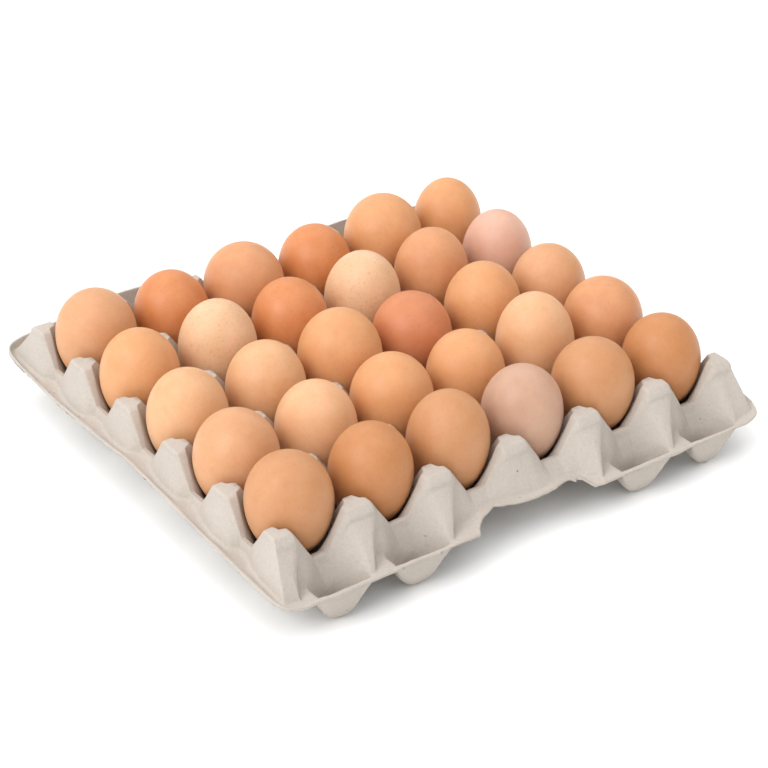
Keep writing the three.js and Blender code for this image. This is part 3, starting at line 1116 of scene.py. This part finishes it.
    def short_section(self, station: Station, skin: Skin) -> list[Row]:
        """Makes the section of a short side.

        Args:
            station: The station.
            skin: The skin to make.

        Returns:
            The rows, from the ridge to the lip.
        """
        at, offset, half = station
        rows = self.cap_rows(self.ridge_height(at, offset, False), offset, skin, self.short_bevel)
        lip = float(np.interp(at, *zip(*SHORT_LIP)))
        gutter = lip - self.short_gutter
        taper = half * self.face_taper if offset == self.shoulder_at else 0.0
        reach = float(np.interp(offset, *zip(*SHORT_FOOT[half])))
        foot = Row(reach, gutter + self.gutter_rises[0], self.edge_bend, taper)
        floor_reach, belly_reach = (mix(reach, self.short_crease, share) for share in self.gutter_shares)
        floor = Row(floor_reach, gutter, self.gutter_bend)
        belly = Row(belly_reach, gutter + self.gutter_rises[1], 1.0)
        crease = Row(self.short_crease, lip, self.gutter_bend)
        wall = self.with_wall(rows, foot, self.run_out(offset))
        return [*wall, floor, belly, crease, Row(self.short_lip, lip, 0.0)]

    def with_wall(self, rows: list[Row], foot: Row, fade: float, bulge: float = 0.0) -> list[Row]:
        """Adds the wall under the cap: a row low on it, and its foot.

        Args:
            rows: The cap's rows.
            foot: The wall's foot.
            fade: How far the bevel and the step have run out into the straight wall, from 0 to 1.
            bulge: 0 for a straight wall, up to 1 for one that bulges into a pocket.

        Returns:
            The rows with those of the wall.
        """
        edge = rows[1]
        for k, share in zip(range(2, len(rows)), self.run_out_shares):
            straight = [mix(start, end, share) for start, end in zip(edge, foot)]
            rows[k] = Row(*(mix(old, new, fade) for old, new in zip(rows[k], straight)))
        reach, height, _, shift = rows[-1]
        share = mix(*self.low_shares, bulge)
        out = mix(reach, foot.reach, share) + self.wall_bulge * bulge
        down, along = mix(height, foot.height, share), mix(shift, foot.shift, share)
        return [*rows, Row(out, down, self.wall_round * bulge, along), foot]

    def waved(self, place: Point) -> Point:
        """Lifts or lowers a corner of the lip where the lip waves.

        Args:
            place: The corner's place.

        Returns:
            The place it moves to.
        """
        x, y, z = place
        spot = Vector((x / self.wave_mm, y / self.wave_mm, self.wave_seed))
        return (x, y, z + self.lip_wave * noise.noise(spot))

    @staticmethod
    def frayed(grid: np.ndarray) -> np.ndarray:
        """Draws a side's lip in unevenly, as trimmed and torn pulp ends.

        Args:
            grid: The grid, by row outward and station.

        Returns:
            The grid with its outermost rows moved.
        """
        outward = grid[-1, :, :3] - grid[-2, :, :3]
        outward /= np.maximum(np.linalg.norm(outward, axis=1), 1e-6)[:, None]
        for k, (x, y, _) in enumerate(grid[-1, :, :3]):
            fray = Fray.TORN if abs(x) < NOTCH_EDGE[-1][0] and y < 0 else Fray.TRIMMED
            scrap = float(np.interp(x, *zip(*SCRAP))) if y < 0 else 0.0
            short = fray.shortfall(x, y) - scrap
            for row, share in FRAY_SHARES.items():
                grid[row, k, :3] -= outward[k] * share * short
        return grid

    def side_net(self, sign: int, is_long: bool, cell: int, skin: Skin) -> np.ndarray:
        """Makes the net of one cell's stretch of a side.

        Args:
            sign: -1 or 1, for the side at the low or the high end of its axis.
            is_long: Whether it is a long side, which runs along X.
            cell: The cell's column or row.
            skin: The skin to make.

        Returns:
            The net, by station along the side and row outward.
        """
        line = self.line_x if is_long else self.line_y
        across = self.line_y if is_long else self.line_x
        outer = across(0) if sign < 0 else across(self.rows if is_long else self.columns)
        has_foot = is_long and cell in self.foot_columns
        pocket_rounds = {self.cut_at[2]: self.cut_round, self.saddle_at: self.foot_round}
        net: list[list[Corner]] = []
        for station in self.stations(line(cell), line(cell + 1), True):
            if is_long:
                section = self.long_section(station, sign, cell, skin)
            else:
                section = self.short_section(station, skin)
            corners: list[Corner] = []
            for row, (reach, height, bend, shift) in enumerate(section):
                from_lip = len(section) - 1 - row
                along = self.crisp(station.offset)
                if station.offset == self.shoulder_at and from_lip in WALL_ROWS:
                    along = self.ridge_round
                if has_foot and from_lip in POCKET_ROWS:
                    along = pocket_rounds.get(station.offset, self.fold_round)
                place = station.at + shift
                spot = (place, outer + sign * reach) if is_long else (outer + sign * reach, place)
                corner = (*spot, height)
                corners.append((*(self.waved(corner) if from_lip in LIP_ROWS else corner), bend, along))
            net.append(corners)
        return np.array(net)

    def corner_net(self, sign_x: int, sign_y: int, skin: Skin) -> np.ndarray:
        """Makes the net of the rounded corner between a long and a short side.

        Args:
            sign_x: -1 or 1, for the short side at the low or the high end of X.
            sign_y: The same for the long side, along Y.
            skin: The skin to make.

        Returns:
            The net, by spoke and row outward.
        """
        x = self.line_x(0) if sign_x < 0 else self.line_x(self.columns)
        y = self.line_y(0) if sign_y < 0 else self.line_y(self.rows)
        long = self.long_section(Station(x, 0.0, -1), sign_y, -1, skin)
        short = self.short_section(Station(y, 0.0, -1), skin)
        squareness = dict(enumerate(self.corner_squareness))
        spokes = self.corner_spokes
        net: list[list[Corner]] = []
        for k in range(spokes + 1):
            turn = k / spokes * math.pi / 2
            corners: list[Corner] = []
            for row, (one, other) in enumerate(zip(long, short)):
                from_lip = len(long) - 1 - row
                power = 2 / squareness.get(from_lip, self.cap_squareness)
                out_x = other.reach * abs(math.sin(turn)) ** power
                out_y = one.reach * abs(math.cos(turn)) ** power if k < spokes else 0.0
                corner = (x + sign_x * out_x, y + sign_y * out_y, mix(one.height, other.height, k / spokes))
                bend = mix(one.bend, other.bend, k / spokes)
                is_creased = k == spokes // 2 and from_lip not in LIP_ROWS
                along = self.corner_crease if is_creased else self.corner_round
                corners.append((*(self.waved(corner) if from_lip in LIP_ROWS else corner), bend, along))
            net.append(corners)
        return np.array(net)

    def nets(self, skin: Skin) -> tuple[list[np.ndarray], list[np.ndarray]]:
        """Makes a skin's nets.

        Args:
            skin: The skin to make.

        Returns:
            The nets of the cups, and those of the sides and corners round them.
        """
        cups = [self.cup_net(column, row) for row in range(self.rows) for column in range(self.columns)]
        edges: list[np.ndarray] = []
        for sign in (-1, 1):
            edges += [self.side_net(sign, True, column, skin) for column in range(self.columns)]
            edges += [self.side_net(sign, False, row, skin) for row in range(self.rows)]
            edges += [self.corner_net(sign, sign_y, skin) for sign_y in (-1, 1)]
        if skin is Skin.LOWER:
            moved = inset(cups + edges, self.pulp)
            cups, edges = moved[: len(cups)], moved[len(cups) :]
        return cups, edges

    def skin_grids(self, skin: Skin) -> tuple[list[np.ndarray], list[np.ndarray]]:
        """Makes a skin's refined grids.

        Args:
            skin: The skin to make.

        Returns:
            The grids of the cups, and those of the sides and corners round them.
        """
        cups, edges = self.nets(skin)
        cup_grids = []
        for number, net in enumerate(cups):
            row, column = divmod(number, self.columns)
            outer = (row == 0, column == self.columns - 1, row == self.rows - 1, column == 0)
            steps = [count for is_outer in outer for count in self.station_steps(is_outer)]
            round_cup = refined(net, ALONG, steps)
            cup_grids.append(refined(round_cup.swapaxes(0, 1), ACROSS, CUP_STEPS))
        corner_steps = [1] * self.corner_spokes
        edge_grids = []
        for net in edges:
            is_corner = len(net) == self.corner_spokes + 1
            fine = refined(net, ALONG, corner_steps if is_corner else self.station_steps(True))
            edge_grids.append(self.frayed(refined(fine.swapaxes(0, 1), ACROSS, self.row_steps(skin))))
        return cup_grids, edge_grids

    def rim(self, upper: np.ndarray, lower: np.ndarray) -> np.ndarray:
        """Makes the sheet's cut edge, a little rounded, between the two skins' last rows.

        Args:
            upper: A grid of the upper skin.
            lower: The same grid of the lower skin.

        Returns:
            The grid of the edge.
        """
        outward = upper[-1, :, :3] - upper[-2, :, :3]
        outward /= np.linalg.norm(outward, axis=1)[:, None]
        top, low, crown = upper[-1, :, :3], lower[-1, :, :3], outward * self.rim_round
        return np.array([top, top * 0.75 + low * 0.25 + crown, top * 0.25 + low * 0.75 + crown, low])

    def build(self) -> bpy.types.Object:
        """Builds both skins and the rim between them, roughened like pulp.

        Returns:
            The tray.
        """
        sheet = Sheet()
        upper_cups, upper_edges = self.skin_grids(Skin.UPPER)
        lower_cups, lower_edges = self.skin_grids(Skin.LOWER)
        for grid in [*upper_cups, *upper_edges, *lower_cups, *lower_edges]:
            sheet.add(grid)
        for upper, lower in zip(upper_edges, lower_edges):
            sheet.add(self.rim(upper, lower))
        for grid in [*upper_cups, *lower_cups]:
            sheet.face([sheet.corner(place) for place in grid[-1]])
        obj = bpy.data.objects.new("pulp_tray", sheet.mesh("pulp_tray"))
        bpy.context.collection.objects.link(obj)
        self.roughen(obj.data)
        weigh = obj.modifiers.new("weigh", "WEIGHTED_NORMAL")
        weigh.mode = "FACE_AREA"
        obj.data = applied(obj)
        return obj

    @staticmethod
    def roughen(mesh: bpy.types.Mesh) -> None:
        """Moves the sheet's points in and out as uneven pulp does, but never out of the CAD box.

        Args:
            mesh: The sheet's mesh.
        """
        points = coordinates(mesh)
        normals = np.empty(len(points) * 3)
        mesh.vertex_normals.foreach_get("vector", normals)
        heights = np.array([fractal(point, PULP_LUMPS, PULP_SEED) for point in points]) - PULP_SHRINK
        points += normals.reshape(-1, 3) * heights[:, None]
        low, high = (np.array(corner) / MM for corner in CAD_BOX)
        points = np.clip(points, low, high)
        mesh.vertices.foreach_set("co", (points * MM).ravel())
        mesh.update()


# ---- The studio -----------------------------------------------------------------------------------


@dataclass
class Studio:
    """A plain pale floor, soft light from the upper left, and the camera."""

    azimuth: float = -35.0
    elevation: float = 31.9
    distance: float = 1.2023
    target: Point = (-0.0168, -0.03103, 0.0455)
    focal_px: float = 2300.1
    image_px: float = 768.0
    floor_size: float = 16.0
    key_place: Point = (-6.1, -0.9, 5.2)
    key_size: float = 4.4
    key_power: float = 245.0
    # The room is dark below, from this cosine from its bright side, and brightens to this strength.
    bright_side: Point = (-0.22, 0.1, 0.97)
    dark_from: float = -0.3
    room_light: float = 1.86

    def build(self) -> None:
        """Adds the floor, the lights and the camera."""
        self.add_camera()
        self.add_floor()
        self.add_key()
        self.add_world()
        bpy.context.scene.view_settings.view_transform = "Standard"

    def add_world(self) -> None:
        """Adds the white room round the floor, brightest overhead."""
        world = bpy.data.worlds.new("studio")
        world.use_nodes = True
        tree = world.node_tree
        around = add_node(tree, "ShaderNodeTexCoord").outputs["Generated"]
        toward = add_node(
            tree, "ShaderNodeVectorMath", {"operation": "DOT_PRODUCT"}, {0: around, 1: self.bright_side}
        )
        strength = add_node(
            tree,
            "ShaderNodeMapRange",
            inputs={
                "Value": toward.outputs["Value"],
                "From Min": self.dark_from,
                "From Max": 1.0,
                "To Min": 0.0,
                "To Max": self.room_light,
            },
        )
        background = tree.nodes["Background"]
        background.inputs["Color"].default_value = (1.0, 1.0, 1.0, 1.0)
        tree.links.new(strength.outputs["Result"], background.inputs["Strength"])
        bpy.context.scene.world = world

    def add_camera(self) -> None:
        """Adds the camera, aimed at the tray from its azimuth and elevation."""
        data = bpy.data.cameras.new("camera")
        data.sensor_width = 36.0
        data.lens = self.focal_px / self.image_px * data.sensor_width
        camera = bpy.data.objects.new("camera", data)
        az, el = math.radians(self.azimuth), math.radians(self.elevation)
        back = Vector((math.sin(az) * math.cos(el), -math.cos(az) * math.cos(el), math.sin(el)))
        camera.location = Vector(self.target) + back * self.distance
        camera.rotation_euler = back.to_track_quat("Z", "Y").to_euler()
        bpy.context.collection.objects.link(camera)
        bpy.context.scene.camera = camera

    def add_floor(self) -> None:
        """Adds the floor the tray stands on."""
        half = self.floor_size / 2
        corners = [(-half, -half, 0.0), (half, -half, 0.0), (half, half, 0.0), (-half, half, 0.0)]
        mesh = bpy.data.meshes.new("floor")
        mesh.from_pydata(corners, [], [(0, 1, 2, 3)])
        mesh.materials.append(MattPaint().build())
        floor = bpy.data.objects.new("floor", mesh)
        bpy.context.collection.objects.link(floor)

    def add_key(self) -> None:
        """Adds the key light, a square soft light that faces the tray."""
        data = bpy.data.lights.new("key", "AREA")
        data.size = self.key_size
        data.energy = self.key_power
        light = bpy.data.objects.new("key", data)
        light.location = self.key_place
        light.rotation_euler = Vector(self.key_place).to_track_quat("Z", "Y").to_euler()
        bpy.context.collection.objects.link(light)


# ---- The whole ------------------------------------------------------------------------------------


def shell_of(place: str) -> str:
    """Looks up which shell finish an egg has.

    Args:
        place: The egg's row and column, as in "1_4".

    Returns:
        The finish's name.
    """
    for shell, places in SHELL_EGGS.items():
        if place in places:
            return shell
    return "tan"


def place_piece(obj: bpy.types.Object, node: str, material: bpy.types.Material) -> None:
    """Dresses a piece and lets it stand for its CAD node.

    Args:
        obj: The piece.
        node: The CAD node's name.
        material: Its finish.
    """
    obj.data.materials.clear()
    obj.data.materials.append(material)
    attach(obj, BODY)
    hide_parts(node)
    LOG.info("%s stands for %s: %d faces", obj.name, node, len(obj.data.polygons))


def main() -> None:
    """Builds the tray, the eggs and the studio."""
    logging.basicConfig(level=logging.INFO, format="%(name)s: %(message)s")
    Studio().build()
    place_piece(PulpTray().build(), "tray", MouldedPulp().build())
    materials = {name: shell.build(name) for name, shell in SHELLS.items()}
    for node in sorted(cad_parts):
        if node.startswith("egg_"):
            shell = shell_of(node.removeprefix("egg_"))
            place_piece(Egg(node).build(), node, materials[shell])


if __name__ == "__main__":
    main()
